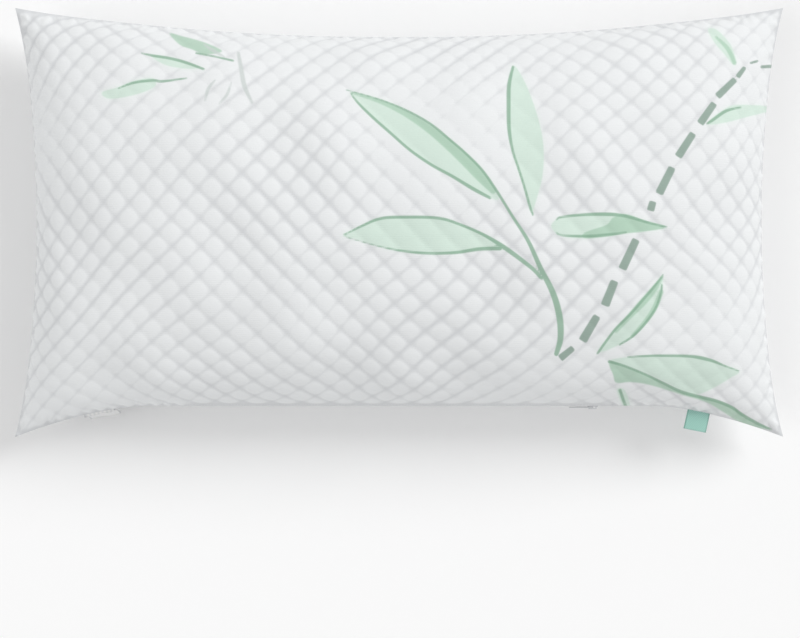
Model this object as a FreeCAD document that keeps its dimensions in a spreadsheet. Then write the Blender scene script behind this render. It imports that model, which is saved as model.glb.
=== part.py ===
"""King-size bed pillow: a zipped quilted cover over a zipped inner liner, stuffed with shredded foam.

The pillow lies flat. +Z is up, through the printed face; +X runs along the length, and the zips
are on the long edge at -Y. The origin is the middle of its footprint, on the surface it lies on.
All sizes are in millimetres.
"""

import FreeCAD, Part
import math
import os

Vector = FreeCAD.Vector
doc = FreeCAD.newDocument("bed_pillow")


# ---------------------------------------------------------------- driving dimensions

SIZES = {
    # the filled pillow, measured from seam corner to seam corner
    "pillow_length": 890,
    "pillow_width": 497,
    "pillow_loft": 180,
    "seam_height": 75,
    "corner_droop": 25,
    # how far the middle of each edge is drawn in from the line through its corners
    "long_edge_sag": 37,
    "short_edge_sag": 29,
    "zip_edge_straight": 0.65,
    # casings: thickness, and the turned-in seam allowance behind each edge
    "cover_thickness": 3,
    "liner_thickness": 1,
    "seam_allowance": 10,
    "casing_gap": 1,
    "corner_ease": 0.03,
    "liner_zip_depth": 19,
    "underside_flat_cut": 1.5,
    "ground_cut_depth": 10,
    # coil zip: lengths along X, the others across it
    "chain_length": 457,
    "zip_slot_length": 489,
    "zip_slot_half_height": 5.5,
    "zip_slot_front": 5,
    "zip_slot_back": 13,
    "coil_width": 2.4,
    "coil_thickness": 2.4,
    "coil_rounding": 0.6,
    "coil_depth": 0.8,
    "centre_gap": 1,
    "tape_depth": 3.4,
    "tape_thickness": 0.6,
    "tape_flat_width": 4.9,
    "tape_turned_width": 8,
    "tape_pocket_clearance": 0.3,
    "stop_length": 3,
    "stop_proud": 0.2,
    # zip slider and its pull
    "slider_length": 12,
    "slider_width": 8.6,
    "slider_plate": 1.2,
    "slider_back_plate": 1,
    "slider_rounding": 2.4,
    "slider_park": 0.6,
    "front_clearance": 0.4,
    "back_clearance": 0.3,
    "flange_setback": 2.5,
    "flange_reach": 2.3,
    "flange_thickness": 1,
    "web_length": 5,
    "web_thickness": 0.5,
    "web_root": 0.2,
    "crown_length": 9,
    "crown_width": 2,
    "crown_gap": 1.8,
    "crown_bar": 1.2,
    "crown_post": 1.4,
    "pull_length": 27,
    "pull_width": 7,
    "pull_thickness": 1,
    "pull_rounding": 1.1,
    "pull_bar": 1,
    "pull_pin_diameter": 1.2,
    "pull_window_length": 5.4,
    "pull_window_width": 3.2,
    "pull_window_rounding": 0.3,
    # sewn-in labels, both blank
    "label_offset": 345,
    "label_clearance": 1,
    "care_label_width": 38,
    "care_label_drop": 48,
    "care_label_thickness": 0.5,
    "side_tab_width": 27,
    "side_tab_reach": 22,
    "side_tab_thickness": 1.2,
}

sheet = doc.addObject("Spreadsheet::Sheet", "sizes")
for row, (alias, number) in enumerate(SIZES.items(), start=1):
    sheet.set(f"A{row}", alias)
    sheet.set(f"B{row}", str(number))
    sheet.setAlias(f"B{row}", alias)
doc.recompute()


def size(alias):
    """A driving dimension, read back from the spreadsheet."""
    return float(sheet.get(alias))


def bound(text):
    """An expression in which each driving dimension is named in full, as sizes.name."""
    words = "".join(c if c.isalnum() or c == "_" else " " for c in text).split()
    for alias in sorted(set(words) & set(SIZES), key=len, reverse=True):
        text = text.replace(alias, "@" + str(list(SIZES).index(alias)) + "@")
    for place, alias in enumerate(SIZES):
        text = text.replace(f"@{place}@", f"sizes.{alias}")
    return text


# ---------------------------------------------------------------- soft, stuffed forms

CONTROL_COLUMNS = 37  # along the length
CONTROL_ROWS = 25  # across the width
CROWDING = math.radians(70)  # gathers the control points towards the seams

# Powers in the outline: the higher, the longer an edge stays straight before it turns out.
EDGE_POWER = 2.25
ZIP_EDGE_POWER = 1.6

# Powers in the crown: how far it stays full along the length and the width, and how blunt it is.
CROWN_ALONG = 3.2
CROWN_ACROSS = 2.4
CROWN_BLUNTNESS = 0.54

# The underside is flat where the crown is this full, and curves up to the seam outside it.
FLAT_FROM = 0.9
UNDERSIDE_POWER = 1.5

DROOP_ALONG = 0.62  # share of the half length at which the corners start to droop
DROOP_ACROSS = 0.3  # the same, of the half width
CORNER_POWER = 8  # keeps the easing of the inner layers to their corners


def spread(count):
    """Numbers from -1 to 1, closer together towards both ends."""
    steps = [2 * i / (count - 1) - 1 for i in range(count)]
    return [math.sin(CROWDING * s) / math.sin(CROWDING) for s in steps]


def smooth_step(value, start, end):
    share = min(max((value - start) / (end - start), 0), 1)
    return share * share * (3 - 2 * share)


def zip_edge_profile(u):
    """1 along the straight stretch that carries the zip, falling to 0 at the corners."""
    straight = size("zip_edge_straight")
    return 1 - (max(abs(u) - straight, 0) / (1 - straight)) ** ZIP_EDGE_POWER


def seam_level(x, y):
    """Height of the seam: level along the edges, and drooping towards the four corners."""
    along = smooth_step(2 * abs(x) / size("pillow_length"), DROOP_ALONG, 1)
    across = smooth_step(2 * abs(y) / size("pillow_width"), DROOP_ACROSS, 1)
    return size("seam_height") - size("corner_droop") * along * across


def fullness(u, v):
    """0 on the seam and 1 over the crown of the pillow."""
    return ((1 - abs(u) ** CROWN_ALONG) * (1 - abs(v) ** CROWN_ACROSS)) ** CROWN_BLUNTNESS


def control_net(side, layer, inset, zip_inset, skin, below=0):
    """Control points of one stuffed face, side "top" or "bottom".

    layer counts inwards from the cover, and each layer's corners are a little rounder. inset and
    zip_inset bring the seam in from the cover's own, on three edges and on the edge with the
    zip; skin is the depth below the cover's outer surface at the crown.
    """
    half_length = size("pillow_length") / 2 - inset
    half_width = size("pillow_width") / 2
    net = []
    for u in spread(CONTROL_COLUMNS):
        column = []
        for v in spread(CONTROL_ROWS):
            x = u * (half_length - size("short_edge_sag") * (1 - abs(v) ** EDGE_POWER))
            if v > 0:
                y = v * (half_width - inset - size("long_edge_sag") * (1 - abs(u) ** EDGE_POWER))
            else:
                y = v * (half_width - zip_inset - size("long_edge_sag") * zip_edge_profile(u))
            ease = 1 - layer * size("corner_ease") * abs(u * v) ** CORNER_POWER
            x, y = x * ease, y * ease
            seam = seam_level(x, y)
            if side == "top":
                share, crown = fullness(u, v), size("pillow_loft") - skin
            else:
                share = 1 - max(1 - fullness(u, v) / FLAT_FROM, 0) ** UNDERSIDE_POWER
                crown = skin - below
            column.append(Vector(x, y, seam * (1 - share) + crown * share))
        net.append(column)
    return net


def spline_face(net):
    """The smooth face that a net of control points shapes; it meets the net's own border."""
    degrees = [min(3, len(net) - 1), min(3, len(net[0]) - 1)]
    knots, repeats = [], []
    for points, degree in zip((len(net), len(net[0])), degrees):
        spans = points - degree
        knots.append([i / spans for i in range(spans + 1)])
        repeats.append([degree + 1] + [1] * (spans - 1) + [degree + 1])
    surface = Part.BSplineSurface()
    surface.buildFromPolesMultsKnots(
        net, repeats[0], repeats[1], knots[0], knots[1], False, False, degrees[0], degrees[1]
    )
    return surface.toShape()


def border(net):
    """The four edges of a net, each as a list of control points."""
    return [net[0], net[-1], [column[0] for column in net], [column[-1] for column in net]]


def closed_solid(faces):
    shell = Part.makeShell(faces)
    shell.sewShape()
    solid = Part.makeSolid(Part.Shell(shell.Faces))
    if solid.Volume < 0:
        solid.reverse()
    return solid


def shape_feature(name, shape):
    feature = doc.addObject("Part::Feature", name)
    feature.Shape = shape
    feature.Placement = FreeCAD.Placement()
    return feature


def casing_panel(name, side, layer, inset, zip_inset, skin, thickness, below=0):
    """One panel of a casing: an outer and an inner face, joined by the flat of the seam allowance."""
    allowance = size("seam_allowance")
    outer = control_net(side, layer, inset, zip_inset, skin, below)
    inner = control_net(side, layer, inset + allowance, zip_inset + allowance, skin + thickness)
    rims = [spline_face([a, b]) for a, b in zip(border(outer), border(inner))]
    return shape_feature(name, closed_solid([spline_face(outer), spline_face(inner), *rims]))


def stuffing(name, layer, inset, zip_inset, skin):
    """A filled form: a top and a bottom face that share one seam line."""
    nets = [control_net(side, layer, inset, zip_inset, skin) for side in ("top", "bottom")]
    return shape_feature(name, closed_solid([spline_face(net) for net in nets]))


# ---------------------------------------------------------------- hard parts, bound to the sheet


def bind(feature, **expressions):
    """Binds properties of a feature; x, y and z stand for where it is placed."""
    for name, text in expressions.items():
        path = f"Placement.Base.{name}" if name in ("x", "y", "z") else name
        feature.setExpression(path, bound(text))
    return feature


def block(name, length, depth, height, x, y, z):
    """A box with its size and lowest corner given as expressions."""
    feature = doc.addObject("Part::Box", name)
    return bind(feature, Length=length, Width=depth, Height=height, x=x, y=y, z=z)


def rounded(name, base, edges, radius):
    """A copy of a box with some of its edges rounded to a driving dimension."""
    feature = doc.addObject("Part::Fillet", name)
    feature.Base = base
    feature.Edges = [(edge, size(radius), size(radius)) for edge in edges]
    return feature


def fused(name, *shapes):
    feature = doc.addObject("Part::MultiFuse", name)
    feature.Shapes = list(shapes)
    return feature


def cut(name, base, tool):
    feature = doc.addObject("Part::Cut", name)
    feature.Base, feature.Tool = base, tool
    return feature


def edges_along(shape, direction):
    """Numbers of a shape's straight edges that run along a direction."""
    found = []
    for number, edge in enumerate(shape.Edges, start=1):
        run = edge.Vertexes[-1].Point - edge.Vertexes[0].Point
        if run.Length > 0 and abs(abs(run.normalize() * direction) - 1) < 1e-6:
            found.append(number)
    return found


# The line of a zip: the seam's outermost line on its edge of the pillow.
COVER_ZIP_LINE = "(long_edge_sag - pillow_width / 2)"
LINER_ZIP_LINE = "(long_edge_sag + liner_zip_depth - pillow_width / 2)"
HALF_CHAIN = "chain_length / 2"


def zip_slot(name, line):
    """The opening left between the two panels for the zip."""
    return block(
        name,
        "zip_slot_length",
        "zip_slot_front + zip_slot_back",
        "2 * zip_slot_half_height",
        "-zip_slot_length / 2",
        f"{line} - zip_slot_front",
        "seam_height - zip_slot_half_height",
    )


def turned_strip(name, line, way, grow):
    """The outer half of a zip tape, turned in behind a panel; way is 1 for upper, -1 for lower."""
    width = f"(tape_turned_width + 2 * {grow})"
    # both lean inwards by 45 degrees, and the lower one is placed by its far edge
    far = "0" if way > 0 else f"{width} * cos(45)"
    strip = block(
        name,
        f"zip_slot_length + 2 * {grow}",
        f"tape_thickness + 2 * {grow}",
        width,
        f"-zip_slot_length / 2 - {grow}",
        f"{line} + tape_depth - {grow} + {far}",
        f"seam_height + {way} * (centre_gap / 2 + tape_flat_width - {grow}) - {far}",
    )
    strip.Placement.Rotation = FreeCAD.Rotation(Vector(1, 0, 0), -45 * way)
    return strip


def zip_tape(name, line, way):
    """A woven tape: a flat half under the coil and a half turned in behind the panel."""
    low = "centre_gap / 2" if way > 0 else "-centre_gap / 2 - tape_flat_width"
    flat = block(
        f"{name}_flat",
        "zip_slot_length",
        "tape_thickness",
        "tape_flat_width",
        "-zip_slot_length / 2",
        f"{line} + tape_depth",
        f"seam_height + {low}",
    )
    return fused(name, flat, turned_strip(f"{name}_turned", line, way, "0"))


def zip_coil(name, line, way):
    """One side of the nylon coil, sewn along the edge of its tape."""
    low = "centre_gap / 2" if way > 0 else "-centre_gap / 2 - coil_width"
    bar = block(
        f"{name}_bar",
        "chain_length",
        "coil_thickness",
        "coil_width",
        f"-{HALF_CHAIN}",
        f"{line} + coil_depth",
        f"seam_height + {low}",
    )
    doc.recompute()
    return rounded(name, bar, edges_along(bar.Shape, Vector(1, 0, 0)), "coil_rounding")


def top_stops(name, line):
    """Two crimped stops, one on each coil, at the end where the closed slider rests."""
    pair = [
        block(
            f"{name}_{side}",
            "stop_length",
            "coil_thickness + stop_proud",
            "coil_width",
            HALF_CHAIN,
            f"{line} + coil_depth - stop_proud",
            f"seam_height + {low}",
        )
        for side, low in (("upper", "centre_gap / 2"), ("lower", "-centre_gap / 2 - coil_width"))
    ]
    return fused(name, *pair)


def bottom_stop(name, line):
    """One stop across both coils at the far end of the slider's travel."""
    return block(
        name,
        "stop_length",
        "coil_thickness + stop_proud",
        "2 * coil_width + centre_gap",
        f"-{HALF_CHAIN} - stop_length",
        f"{line} + coil_depth - stop_proud",
        "seam_height - coil_width - centre_gap / 2",
    )


# The slider is drawn where it rests with the zip closed, at the +X end of the chain.
SLIDER_MIDDLE = f"({HALF_CHAIN} - slider_park - slider_length / 2)"
FRONT_FACE = "coil_depth - front_clearance - slider_plate"
PIN_DEPTH = f"({FRONT_FACE} - crown_gap / 2)"


def slider(name, line):
    """A die-cast slider: front and back plates joined by a web, flanges round the coils, a crown."""
    start = f"{SLIDER_MIDDLE} - slider_length / 2"
    low = "seam_height - slider_width / 2"
    front = block(
        f"{name}_front",
        "slider_length",
        "slider_plate",
        "slider_width",
        start,
        f"{line} + {FRONT_FACE}",
        low,
    )
    back = block(
        f"{name}_back",
        "slider_length",
        "slider_back_plate",
        "slider_width",
        start,
        f"{line} + tape_depth + tape_thickness + back_clearance",
        low,
    )
    doc.recompute()
    plates = [
        rounded(f"{plate.Name}_rounded", plate, edges_along(plate.Shape, Vector(0, 1, 0)), "slider_rounding")
        for plate in (front, back)
    ]
    web = block(
        f"{name}_web",
        "web_length",
        f"tape_depth + tape_thickness + back_clearance + web_root - ({FRONT_FACE})",
        "web_thickness",
        f"{SLIDER_MIDDLE} - web_length / 2",
        f"{line} + {FRONT_FACE}",
        "seam_height - web_thickness / 2",
    )
    flanges = [
        block(
            f"{name}_flange_{side}",
            "slider_length - 2 * flange_setback",
            "slider_plate + flange_reach",
            "flange_thickness",
            f"{start} + flange_setback",
            f"{line} + {FRONT_FACE}",
            f"seam_height + {place}",
        )
        for side, place in (
            ("upper", "slider_width / 2 - flange_thickness"),
            ("lower", "-slider_width / 2"),
        )
    ]
    posts = [
        block(
            f"{name}_post_{end}",
            "crown_post",
            "crown_gap + crown_bar",
            "crown_width",
            f"{SLIDER_MIDDLE} + {place}",
            f"{line} + {FRONT_FACE} - crown_gap - crown_bar",
            "seam_height - crown_width / 2",
        )
        for end, place in (("near", "crown_length / 2 - crown_post"), ("far", "-crown_length / 2"))
    ]
    crown = block(
        f"{name}_crown",
        "crown_length",
        "crown_bar",
        "crown_width",
        f"{SLIDER_MIDDLE} - crown_length / 2",
        f"{line} + {FRONT_FACE} - crown_gap - crown_bar",
        "seam_height - crown_width / 2",
    )
    return fused(name, *plates, web, *flanges, *posts, crown)


def rounded_outline(sketch, left, right, half, radius):
    """A closed rectangle with round corners, from x left to right and y -half to half."""
    corners = [
        (Vector(right - radius, half - radius, 0), 0),
        (Vector(left + radius, half - radius, 0), 90),
        (Vector(left + radius, radius - half, 0), 180),
        (Vector(right - radius, radius - half, 0), 270),
    ]
    arcs = []
    for centre, turn in corners:
        circle = Part.Circle(centre, Vector(0, 0, 1), radius)
        arcs.append(Part.ArcOfCircle(circle, math.radians(turn), math.radians(turn + 90)))
    for arc, following in zip(arcs, arcs[1:] + arcs[:1]):
        sketch.addGeometry(arc)
        sketch.addGeometry(Part.LineSegment(arc.EndPoint, following.StartPoint))


def pull(name, line):
    """The pull: a rounded plate with a window closed by a round pin, which the crown holds.

    It lies flat along the chain, and the pin is at the body's origin.
    """
    body = doc.addObject("PartDesign::Body", name)
    planes = {plane.Role: plane for plane in body.Origin.OriginFeatures}
    sketch = body.newObject("Sketcher::SketchObject", f"{name}_outline")
    sketch.AttachmentSupport = [(planes["XZ_Plane"], "")]
    sketch.MapMode = "FlatFace"
    bar = size("pull_bar") / 2
    rounded_outline(
        sketch, -size("pull_length"), bar, size("pull_width") / 2, size("pull_rounding")
    )
    rounded_outline(
        sketch,
        -bar - size("pull_window_length"),
        -bar,
        size("pull_window_width") / 2,
        size("pull_window_rounding"),
    )
    plate = body.newObject("PartDesign::Pad", f"{name}_plate")
    plate.Profile = sketch
    plate.SideType = "Symmetric"
    plate.setExpression("Length", bound("pull_thickness"))
    pin = body.newObject("PartDesign::AdditiveCylinder", f"{name}_pin")
    pin.AttachmentSupport = [(planes["XY_Plane"], "")]
    pin.MapMode = "FlatFace"
    pin.setExpression("Radius", bound("pull_pin_diameter / 2"))
    pin.setExpression("Height", bound("pull_width - 2 * pull_rounding"))
    pin.setExpression("AttachmentOffset.Base.z", bound("pull_rounding - pull_width / 2"))
    sketch.Visibility = False
    return bind(body, x=SLIDER_MIDDLE, y=f"{line} + {PIN_DEPTH}", z="seam_height")


def zip_hardware(prefix, line):
    """Everything on one zip: tapes, coils, stops, slider and pull."""
    return [
        zip_tape(f"{prefix}_zip_tape_upper", line, 1),
        zip_tape(f"{prefix}_zip_tape_lower", line, -1),
        zip_coil(f"{prefix}_zip_coil_upper", line, 1),
        zip_coil(f"{prefix}_zip_coil_lower", line, -1),
        top_stops(f"{prefix}_zip_top_stops", line),
        bottom_stop(f"{prefix}_zip_bottom_stop", line),
        slider(f"{prefix}_zip_slider", line),
        pull(f"{prefix}_zip_pull", line),
    ]


def casing(prefix, line, layer, inset, zip_inset, skin, thickness):
    """The two panels of a casing, opened along one long edge for the zip."""
    panels = []
    for side, way in (("top", 1), ("bottom", -1)):
        resting = prefix == "cover" and side == "bottom"
        below = size("underside_flat_cut") if resting else 0
        name = f"{prefix}_{side}_panel"
        sewn = f"{name}_sewn"
        blank = casing_panel(sewn, side, layer, inset, zip_inset, skin, thickness, below)
        cutters = [
            zip_slot(f"{name}_slot", line),
            turned_strip(f"{name}_pocket", line, way, "tape_pocket_clearance"),
        ]
        if resting:
            cutters.append(
                block(
                    "ground_under_cover",
                    "pillow_length",
                    "pillow_width",
                    "ground_cut_depth",
                    "-pillow_length / 2",
                    "-pillow_width / 2",
                    "-ground_cut_depth",
                )
            )
        panels.append(cut(name, blank, fused(f"{name}_cutters", *cutters)))
    return panels


# ---------------------------------------------------------------- labels in the seam of the cover


def seam_line(x):
    """How far out in Y the seam runs on the zipped edge, at x."""
    share = 2 * abs(x) / size("pillow_length")
    return size("long_edge_sag") * zip_edge_profile(share) - size("pillow_width") / 2


def sewn_in(name, side, width, reach, drop, hangs):
    """A label sewn in at label_offset towards +X (side 1) or -X (side -1), turned along the seam.

    It reaches out of the seam, or hangs from it; width, reach and drop are driving dimensions.
    """
    middle, half = size("label_offset"), size(width) / 2
    rise = seam_line(middle + half) - seam_line(middle - half)
    turn = math.atan2(rise, 2 * half)
    out = Vector(side * math.sin(turn), -math.cos(turn), 0)
    corner = Vector(side * middle, seam_line(middle), 0)
    corner += out * (size("label_clearance") + size(reach))
    corner -= Vector(math.cos(turn), side * math.sin(turn), 0) * half
    fall = size(drop) if hangs else size(drop) / 2
    label = block(
        name,
        width,
        reach,
        drop,
        f"{corner.x}",
        f"{corner.y}",
        f"{seam_level(middle, seam_line(middle)) - fall}",
    )
    label.Placement.Rotation = FreeCAD.Rotation(Vector(0, 0, 1), math.degrees(side * turn))
    return label


def care_label():
    """A blank satin label that hangs from the seam near the -X corner."""
    return sewn_in(
        "care_label", -1, "care_label_width", "care_label_thickness", "care_label_drop", True
    )


def side_tab():
    """A folded woven tab, blank, that stands out of the seam near the +X corner."""
    return sewn_in(
        "side_tab", 1, "side_tab_width", "side_tab_reach", "side_tab_thickness", False
    )


# ---------------------------------------------------------------- assembly

nested = size("seam_allowance") + size("casing_gap")
liner_skin = size("cover_thickness") + size("casing_gap")
fill_skin = liner_skin + size("liner_thickness") + size("casing_gap")

subparts = [
    *casing("cover", COVER_ZIP_LINE, 0, 0, 0, 0, size("cover_thickness")),
    *zip_hardware("cover", COVER_ZIP_LINE),
    care_label(),
    side_tab(),
    *casing(
        "liner",
        LINER_ZIP_LINE,
        1,
        nested,
        size("liner_zip_depth"),
        liner_skin,
        size("liner_thickness"),
    ),
    *zip_hardware("liner", LINER_ZIP_LINE),
    stuffing("shredded_foam_fill", 2, 2 * nested, size("liner_zip_depth") + nested, fill_skin),
]
doc.recompute()

for feature in doc.Objects:
    if {"Invalid", "Error"} & set(feature.State):
        raise RuntimeError(f"{feature.Name} failed: {feature.State}")
os.makedirs("parts", exist_ok=True)
for part in subparts:
    part.Label = part.Name
    shape = part.Shape
    if shape.isNull() or not shape.isValid() or not shape.Solids:
        raise RuntimeError(f"{part.Label} has no valid solid")
    shape.exportStep(f"parts/{part.Label}.step")
    box = shape.BoundBox
    print(f"{part.Label}: {shape.Volume / 1000:.2f} cm3, {len(shape.Solids)} solid(s),")
    print(f"    x {box.XMin:.1f} {box.XMax:.1f}, y {box.YMin:.1f} {box.YMax:.1f},", end=" ")
    print(f"z {box.ZMin:.1f} {box.ZMax:.1f}")
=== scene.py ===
"""The looks of a king-size bed pillow: a quilted white knit cover, printed with bamboo sprays and
zipped along one long edge, over a plain zipped liner stuffed with shredded foam.

Metres throughout. +Z is up through the printed face, +X runs along the length, and the zips are
on the long edge at -Y. The sections follow the pillow as it is made up, from the outside in.
"""

import math

import bmesh
import bpy
import numpy as np
from mathutils import Matrix, Vector, noise
from mathutils.bvhtree import BVHTree


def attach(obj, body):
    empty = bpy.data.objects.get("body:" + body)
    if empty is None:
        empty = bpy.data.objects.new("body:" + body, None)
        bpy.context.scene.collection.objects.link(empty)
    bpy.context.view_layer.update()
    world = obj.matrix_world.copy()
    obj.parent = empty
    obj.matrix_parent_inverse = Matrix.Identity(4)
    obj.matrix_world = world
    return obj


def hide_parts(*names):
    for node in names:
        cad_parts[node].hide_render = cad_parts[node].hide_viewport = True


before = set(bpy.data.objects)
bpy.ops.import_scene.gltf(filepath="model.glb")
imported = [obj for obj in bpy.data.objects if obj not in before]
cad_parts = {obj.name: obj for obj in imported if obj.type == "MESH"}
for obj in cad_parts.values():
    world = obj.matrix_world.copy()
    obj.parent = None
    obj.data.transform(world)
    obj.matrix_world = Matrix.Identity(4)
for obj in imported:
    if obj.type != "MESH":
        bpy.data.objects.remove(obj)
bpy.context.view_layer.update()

# ------------------------------ the cover's two panels
# Two rectangles of quilted white knit, viscose from bamboo with polyester, over a thin wadding.
# They are cut 20 by 36 in, sewn face to face round the edge and turned. The stuffing pushes
# them out against that seam, which draws its edges in between the corners.

CUT_LENGTH, CUT_WIDTH = 0.914, 0.508
LENGTH, WIDTH, LOFT = 0.89, 0.497, 0.18  # stuffed, from corner to corner
SEAM_HEIGHT, CORNER_DROOP = 0.075, 0.025
DROOP_ALONG, DROOP_ACROSS = 0.62, 0.3  # where the droop starts, as a share of the way out
LONG_EDGE_SAG, SHORT_EDGE_SAG = 0.037, 0.029
EDGE_POWER, ZIP_EDGE_POWER, ZIP_EDGE_STRAIGHT = 2.25, 1.6, 0.65
CROWN_ALONG, CROWN_ACROSS, CROWN_BLUNTNESS = 3.2, 2.4, 0.54
FLAT_FROM, UNDERSIDE_POWER = 0.9, 1.5
COLUMNS, ROWS = 100, 56  # of the cloth's mesh as simulated; each square is split in 16 later

# The opening left in the seam for the zip, and where on the cut, -1 to 1, its lips start.
ZIP_HALF_SLOT, SLOT_HALF_HEIGHT, SLOT_END, LIPS_FROM = 0.2335, 0.0055, 0.013, 0.88


def smooth_step(value, start, end):
    share = np.clip((value - start) / (end - start), 0, 1)
    return share * share * (3 - 2 * share)


def seam_level(x, y):
    """Height of the seam: level along the edges, and drooping towards the four corners."""
    along = smooth_step(2 * np.abs(x) / LENGTH, DROOP_ALONG, 1)
    across = smooth_step(2 * np.abs(y) / WIDTH, DROOP_ACROSS, 1)
    return SEAM_HEIGHT - CORNER_DROOP * along * across


def stuffed(u, v, way):
    """The stuffed form of a panel, way 1 for the top and -1 for the bottom; u and v are -1 to 1."""
    past_straight = np.maximum(np.abs(u) - ZIP_EDGE_STRAIGHT, 0) / (1 - ZIP_EDGE_STRAIGHT)
    sag = np.where(v > 0, 1 - np.abs(u) ** EDGE_POWER, 1 - past_straight**ZIP_EDGE_POWER)
    x = u * (LENGTH / 2 - SHORT_EDGE_SAG * (1 - np.abs(v) ** EDGE_POWER))
    y = v * (WIDTH / 2 - LONG_EDGE_SAG * sag)
    full = ((1 - np.abs(u) ** CROWN_ALONG) * (1 - np.abs(v) ** CROWN_ACROSS)) ** CROWN_BLUNTNESS
    seam = seam_level(x, y)
    if way > 0:
        return np.stack([x, y, seam + (LOFT - seam) * full], 1)
    return np.stack([x, y, seam * np.maximum(1 - full / FLAT_FROM, 0) ** UNDERSIDE_POWER], 1)


def along_section(share, way, axis):
    """Where a point of the flat cut lies over the middle of the form, measured along the cloth."""
    line = np.linspace(0, 1, 2001)
    nought = np.zeros_like(line)
    points = stuffed(*((line, nought) if axis == 0 else (nought, line)), way)
    run = np.concatenate([[0], np.cumsum(np.linalg.norm(np.diff(points, axis=0), axis=1))])
    return np.sign(share) * np.interp(np.abs(share), run / run[-1], line)


def zip_opening(x):
    """1 along the zip, falling to 0 just past its ends."""
    return 1 - smooth_step(np.abs(x), ZIP_HALF_SLOT, ZIP_HALF_SLOT + SLOT_END)


def laid_out(a, b, way):
    """The panel as the sewer leaves it, loosely filled; a and b are -1 to 1 over the flat cut."""
    free_a, free_b = 1 - np.abs(b) ** 4, 1 - np.abs(a) ** 4
    u = a * (1 - free_a) + along_section(a, way, 0) * free_a
    v = b * (1 - free_b) + along_section(b, way, 1) * free_b
    points = stuffed(u, v, way)
    parted = zip_opening(points[:, 0]) * smooth_step(-b, LIPS_FROM, 1)
    points[:, 2] += way * SLOT_HALF_HEIGHT * parted
    return points


def read_points(mesh):
    points = np.empty(len(mesh.vertices) * 3, np.float32)
    mesh.vertices.foreach_get("co", points)
    return points.reshape(-1, 3).astype(float)


def read_normals(mesh):
    normals = np.empty(len(mesh.vertices) * 3, np.float32)
    mesh.vertex_normals.foreach_get("vector", normals)
    return normals.reshape(-1, 3).astype(float)


def write_points(mesh, points):
    mesh.vertices.foreach_set("co", points.astype(np.float32).ravel())
    mesh.update()


def write_values(mesh, name, values):
    """Keeps one number for each point of a piece, which its material reads by this name."""
    attribute = mesh.attributes.new(name, "FLOAT", "POINT")
    attribute.data.foreach_set("value", values.astype(np.float32))


def on_cut(mesh):
    """Where each point lies on the flat cut, s along and t across, and how far inside its edge."""
    found = []
    for name in ("cut_x", "cut_y"):
        values = np.empty(len(mesh.vertices), np.float32)
        mesh.attributes[name].data.foreach_get("value", values)
        found.append(values.astype(float))
    s, t = found
    return s, t, np.minimum(CUT_WIDTH / 2 - np.abs(t), CUT_LENGTH / 2 - np.abs(s))


def made_piece(name, bm):
    """A finished bmesh as a smooth-shaded object of its own, at the origin."""
    mesh = bpy.data.meshes.new(name)
    bm.to_mesh(mesh)
    bm.free()
    mesh.shade_smooth()
    piece = bpy.data.objects.new(name, mesh)
    bpy.context.scene.collection.objects.link(piece)
    return piece


def settled(piece):
    """Swaps a piece's mesh for what its modifiers make of it, and drops them."""
    graph = bpy.context.evaluated_depsgraph_get()
    mesh = bpy.data.meshes.new_from_object(piece.evaluated_get(graph))
    piece.modifiers.clear()
    piece.shape_key_clear()
    piece.data = mesh
    mesh.name = piece.name
    return mesh


PUSH = 4  # pressure of the stuffing on the cloth
SETTLING_FRAMES = 26
FURTHEST_SHIFT = 0.022


def push_out(panel, flat, border):
    """Cloth simulation: the flat-cut panel settles between the stuffing and its seam."""
    start = read_points(panel.data)
    panel.shape_key_add(name="sewn")
    cut = panel.shape_key_add(name="cut")
    cut.data.foreach_set("co", flat.astype(np.float32).ravel())
    held = panel.vertex_groups.new(name="seam")
    held.add([int(i) for i in np.flatnonzero(border)], 1.0, "REPLACE")
    cloth = panel.modifiers.new("stuffing", "CLOTH")
    knit = cloth.settings
    knit.quality = 7
    knit.mass = 0.3
    knit.tension_stiffness = knit.compression_stiffness = 18
    knit.shear_stiffness = 4
    knit.bending_stiffness = 6
    knit.air_damping = 4
    knit.vertex_group_mass = "seam"
    knit.rest_shape_key = cut
    knit.use_pressure = True
    knit.uniform_pressure_force = PUSH
    knit.effector_weights.gravity = 0
    cloth.point_cache.frame_end = SETTLING_FRAMES
    for step in range(1, SETTLING_FRAMES + 1):
        bpy.context.scene.frame_set(step)
    shift = read_points(settled(panel)) - start
    far = np.linalg.norm(shift, axis=1, keepdims=True)
    points = start + shift * np.minimum(1, FURTHEST_SHIFT / np.maximum(far, 1e-9))
    seam = seam_level(points[:, 0], points[:, 1])
    above = points[:, 2] - seam
    highest = (LOFT - SEAM_HEIGHT) / max(above.max(), LOFT - SEAM_HEIGHT)
    points[:, 2] = np.maximum(seam + above * highest, 0)
    write_points(panel.data, points)


def swell(s, t, length, seed, waves=9):
    """A slow, uneven rise and fall over the cloth, about -1 to 1, as loose stuffing gives it."""
    draw = np.random.default_rng(seed)
    total = 0
    for _ in range(waves):
        turn, start = draw.uniform(0, 2 * math.pi, 2)
        span = length * draw.uniform(0.7, 1.5)
        run = s * math.cos(turn) + t * math.sin(turn)
        total = total + np.cos(run * 2 * math.pi / span + start)
    return total / math.sqrt(waves / 2) / 1.6


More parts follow.
